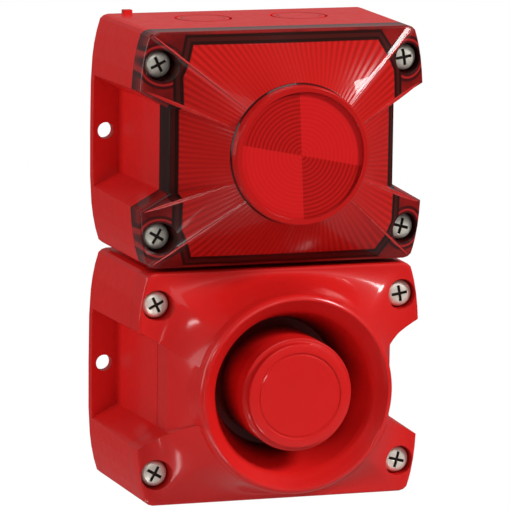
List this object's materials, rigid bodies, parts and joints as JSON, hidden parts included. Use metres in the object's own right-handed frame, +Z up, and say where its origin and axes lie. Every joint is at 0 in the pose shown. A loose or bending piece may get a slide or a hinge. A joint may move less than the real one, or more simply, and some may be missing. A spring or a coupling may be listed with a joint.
{
  "type": "horn strobe",
  "caption": "Wall-mounted fire alarm signal: a red flash beacon with a ribbed clear lens above a horn sounder with a round bell and central plug.",
  "frame": {"origin": "on the wall plane, midway between the two housings, at mid width", "axes": "+X right seen from the front, +Y into the wall, +Z up; the front faces -Y"},
  "size_m": [0.1136, 0.0833, 0.1793],
  "materials": {
    "red_plastic": "satin",
    "clear_red": "clear gloss",
    "rubber": "matt",
    "black_plastic": "satin",
    "red_sleeve": "satin",
    "screw_steel": "zinc plated",
    "reflector": "mirror",
    "tube_glass": "clear",
    "white_plastic": "satin",
    "circuit_board": "satin",
    "blue_sleeve": "gloss",
    "terminal_grey": "satin",
    "magnet": "satin",
    "film": "satin",
    "blue_plastic": "satin"
  },
  "bodies": {
    "root": {"strobe_base": "red_plastic", "sounder_base": "red_plastic", "strobe_seal": "rubber", "sounder_seal": "rubber", "link_seal": "rubber", "lamp_carrier": "black_plastic", "trigger_coil": "black_plastic", "link_bush": "black_plastic", "link_nut_upper": "black_plastic", "link_nut_lower": "black_plastic", "link_lead": "black_plastic", "carrier_screw_1": "screw_steel", "carrier_screw_2": "screw_steel", "carrier_screw_3": "screw_steel", "carrier_screw_4": "screw_steel", "strobe_board_screw_1": "screw_steel", "strobe_board_screw_2": "screw_steel", "joining_screw_strobe": "screw_steel", "joining_screw_sounder": "screw_steel", "joining_plate": "screw_steel", "reflector": "reflector", "flash_tube": "tube_glass", "lamp_holder": "white_plastic", "strobe_board": "circuit_board", "flash_capacitor": "blue_sleeve", "strobe_terminal_block": "terminal_grey", "sounder_terminal_block": "terminal_grey"},
    "lens": {"strobe_lens": "clear_red"},
    "horn": {"horn_cover": "red_plastic", "horn_plug": "red_plastic", "driver_clamp_ring": "black_plastic", "driver_frame": "black_plastic", "driver_magnet": "magnet", "driver_lead_1": "red_sleeve", "driver_lead_2": "black_plastic", "sounder_board": "circuit_board", "sounder_board_screw_1": "screw_steel", "sounder_board_screw_2": "screw_steel", "sounder_board_screw_3": "screw_steel", "sounder_board_screw_4": "screw_steel", "sounder_capacitor": "blue_sleeve", "tone_switch_housing": "blue_plastic", "volume_trimmer_body": "blue_plastic"},
    "diaphragm": {"driver_diaphragm": "film"},
    "volume_rotor": {"volume_trimmer_rotor": "white_plastic"},
    "lens_screw_1": {"lens_screw_1": "screw_steel"},
    "horn_screw_1": {"horn_cover_screw_1": "screw_steel"},
    "lens_screw_2": {"lens_screw_2": "screw_steel"},
    "horn_screw_2": {"horn_cover_screw_2": "screw_steel"},
    "lens_screw_3": {"lens_screw_3": "screw_steel"},
    "horn_screw_3": {"horn_cover_screw_3": "screw_steel"},
    "lens_screw_4": {"lens_screw_4": "screw_steel"},
    "horn_screw_4": {"horn_cover_screw_4": "screw_steel"},
    "tone_lever_1": {"tone_switch_lever_1": "white_plastic"},
    "tone_lever_2": {"tone_switch_lever_2": "white_plastic"},
    "tone_lever_3": {"tone_switch_lever_3": "white_plastic"},
    "tone_lever_4": {"tone_switch_lever_4": "white_plastic"},
    "tone_lever_5": {"tone_switch_lever_5": "white_plastic"},
    "tone_lever_6": {"tone_switch_lever_6": "white_plastic"}
  },
  "joints": [
    {"name": "lens_lift_off", "type": "slide", "parent": "root", "child": "lens", "axis": [0, -1, 0], "range_m": [0, 0.1]},
    {"name": "horn_lift_off", "type": "slide", "parent": "root", "child": "horn", "axis": [0, -1, 0], "range_m": [0, 0.1]},
    {"name": "lens_screw_turn_1", "type": "hinge", "parent": "lens", "child": "lens_screw_1", "pos_m": [-0.048, -0.0549, 0.07687], "axis": [0, -1, 0], "continuous": true},
    {"name": "lens_screw_turn_2", "type": "hinge", "parent": "lens", "child": "lens_screw_2", "pos_m": [0.048, -0.0549, 0.07687], "axis": [0, -1, 0], "continuous": true},
    {"name": "lens_screw_turn_3", "type": "hinge", "parent": "lens", "child": "lens_screw_3", "pos_m": [-0.048, -0.0549, 0.01287], "axis": [0, -1, 0], "continuous": true},
    {"name": "lens_screw_turn_4", "type": "hinge", "parent": "lens", "child": "lens_screw_4", "pos_m": [0.048, -0.0549, 0.01287], "axis": [0, -1, 0], "continuous": true},
    {"name": "horn_screw_turn_1", "type": "hinge", "parent": "horn", "child": "horn_screw_1", "pos_m": [-0.048, -0.0549, -0.01287], "axis": [0, -1, 0], "continuous": true},
    {"name": "horn_screw_turn_2", "type": "hinge", "parent": "horn", "child": "horn_screw_2", "pos_m": [0.048, -0.0549, -0.01287], "axis": [0, -1, 0], "continuous": true},
    {"name": "horn_screw_turn_3", "type": "hinge", "parent": "horn", "child": "horn_screw_3", "pos_m": [-0.048, -0.0549, -0.07687], "axis": [0, -1, 0], "continuous": true},
    {"name": "horn_screw_turn_4", "type": "hinge", "parent": "horn", "child": "horn_screw_4", "pos_m": [0.048, -0.0549, -0.07687], "axis": [0, -1, 0], "continuous": true},
    {"name": "volume_turn", "type": "hinge", "parent": "horn", "child": "volume_rotor", "pos_m": [0.01, -0.0135, -0.05488], "axis": [0, 1, 0], "range_deg": [-135, 135]},
    {"name": "tone_switch_1", "type": "slide", "parent": "horn", "child": "tone_lever_1", "axis": [0, 0, 1], "range_m": [0, 0.0012]},
    {"name": "tone_switch_2", "type": "slide", "parent": "horn", "child": "tone_lever_2", "axis": [0, 0, 1], "range_m": [0, 0.0012]},
    {"name": "tone_switch_3", "type": "slide", "parent": "horn", "child": "tone_lever_3", "axis": [0, 0, 1], "range_m": [0, 0.0012]},
    {"name": "tone_switch_4", "type": "slide", "parent": "horn", "child": "tone_lever_4", "axis": [0, 0, 1], "range_m": [0, 0.0012]},
    {"name": "tone_switch_5", "type": "slide", "parent": "horn", "child": "tone_lever_5", "axis": [0, 0, 1], "range_m": [0, 0.0012]},
    {"name": "tone_switch_6", "type": "slide", "parent": "horn", "child": "tone_lever_6", "axis": [0, 0, 1], "range_m": [0, 0.0012]},
    {"name": "diaphragm_travel", "type": "slide", "parent": "horn", "child": "diaphragm", "axis": [0, -1, 0], "range_m": [-0.0003, 0.0003], "stiffness_N_per_m": 2000}
  ]
}
